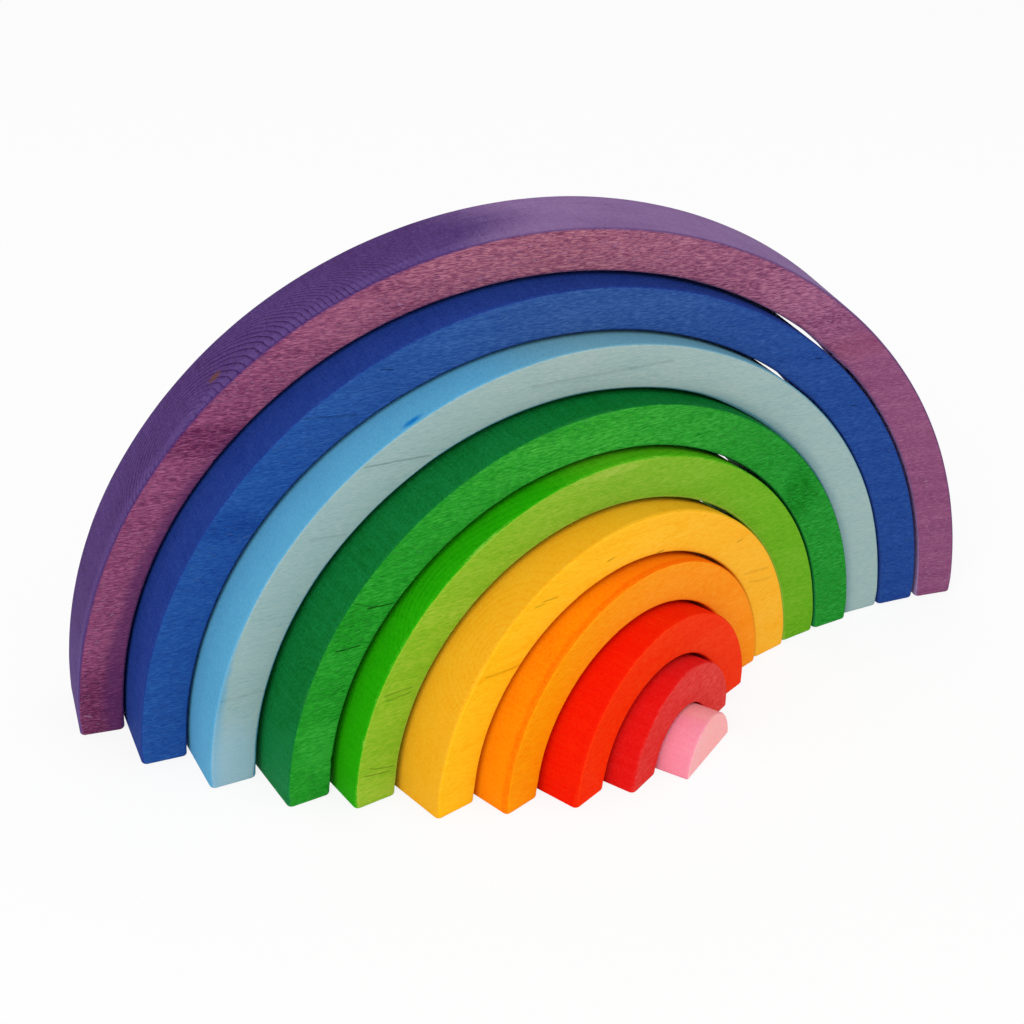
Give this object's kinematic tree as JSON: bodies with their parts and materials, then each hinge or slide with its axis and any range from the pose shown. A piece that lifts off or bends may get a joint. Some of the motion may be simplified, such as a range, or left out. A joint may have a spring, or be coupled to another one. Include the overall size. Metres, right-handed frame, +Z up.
{
  "type": "rainbow stacker",
  "caption": "Wooden nesting rainbow: dyed half-ring arches around a half-round core, standing on their ends and fanned open, for nesting and stacking.",
  "frame": {"origin": "on the floor under the middle of the fanned toy's box, width by depth", "axes": "+X to the right along the face of the outermost arch, +Y from the toy's front to its back, +Z up"},
  "size_m": [0.35, 0.1226, 0.1745],
  "materials": {
    "purple_dye": "sanded wood, stained with a thin coloured dye that lets the grain show",
    "blue_dye": "sanded wood, stained with a thin coloured dye that lets the grain show",
    "light_blue_dye": "sanded wood, stained with a thin coloured dye that lets the grain show",
    "dark_green_dye": "sanded wood, stained with a thin coloured dye that lets the grain show",
    "light_green_dye": "sanded wood, stained with a thin coloured dye that lets the grain show",
    "yellow_dye": "sanded wood, stained with a thin coloured dye that lets the grain show",
    "orange_dye": "sanded wood, stained with a thin coloured dye that lets the grain show",
    "red_dye": "sanded wood, stained with a thin coloured dye that lets the grain show",
    "crimson_dye": "sanded wood, stained with a thin coloured dye that lets the grain show",
    "pink_dye": "sanded wood, stained with a thin coloured dye that lets the grain show"
  },
  "bodies": {
    "purple_arch": {"purple_arch": "purple_dye"},
    "blue_arch": {"blue_arch": "blue_dye"},
    "light_blue_arch": {"light_blue_arch": "light_blue_dye"},
    "dark_green_arch": {"dark_green_arch": "dark_green_dye"},
    "light_green_arch": {"light_green_arch": "light_green_dye"},
    "yellow_arch": {"yellow_arch": "yellow_dye"},
    "orange_arch": {"orange_arch": "orange_dye"},
    "red_arch": {"red_arch": "red_dye"},
    "crimson_arch": {"crimson_arch": "crimson_dye"},
    "pink_core": {"pink_core": "pink_dye"}
  },
  "joints": [
    {"name": "blue_swing", "type": "hinge", "parent": "purple_arch", "child": "blue_arch", "pos_m": [0.1543, 0.03379, 0], "axis": [0, 0, 1], "range_deg": [-4.3, 0.8]},
    {"name": "light_blue_swing", "type": "hinge", "parent": "blue_arch", "child": "light_blue_arch", "pos_m": [0.13712, 0.03691, 0], "axis": [0, 0, 1], "range_deg": [-4.5, 0.8]},
    {"name": "dark_green_swing", "type": "hinge", "parent": "light_blue_arch", "child": "dark_green_arch", "pos_m": [0.15865, 0.04622, 0], "axis": [0, 0, 1], "range_deg": [-4.3, 0.8]},
    {"name": "light_green_swing", "type": "hinge", "parent": "dark_green_arch", "child": "light_green_arch", "pos_m": [0.1052, 0.03809, 0], "axis": [0, 0, 1], "range_deg": [-3.3, 0.8]},
    {"name": "yellow_swing", "type": "hinge", "parent": "light_green_arch", "child": "yellow_arch", "pos_m": [0.09877, 0.02911, 0], "axis": [0, 0, 1], "range_deg": [-6.2, 0.8]},
    {"name": "orange_swing", "type": "hinge", "parent": "yellow_arch", "child": "orange_arch", "pos_m": [0.08379, 0.02244, 0], "axis": [0, 0, 1], "range_deg": [-5, 0.8]},
    {"name": "red_swing", "type": "hinge", "parent": "orange_arch", "child": "red_arch", "pos_m": [0.11822, 0.04744, 0], "axis": [0, 0, 1], "range_deg": [-4.7, 0.8]},
    {"name": "crimson_swing", "type": "hinge", "parent": "red_arch", "child": "crimson_arch", "pos_m": [0.0799, 0.02085, 0], "axis": [0, 0, 1], "range_deg": [-5.1, 0.8]},
    {"name": "pink_swing", "type": "hinge", "parent": "crimson_arch", "child": "pink_core", "pos_m": [0.13089, 0.0587, 0], "axis": [0, 0, 1], "range_deg": [-4.1, 0.8]}
  ]
}
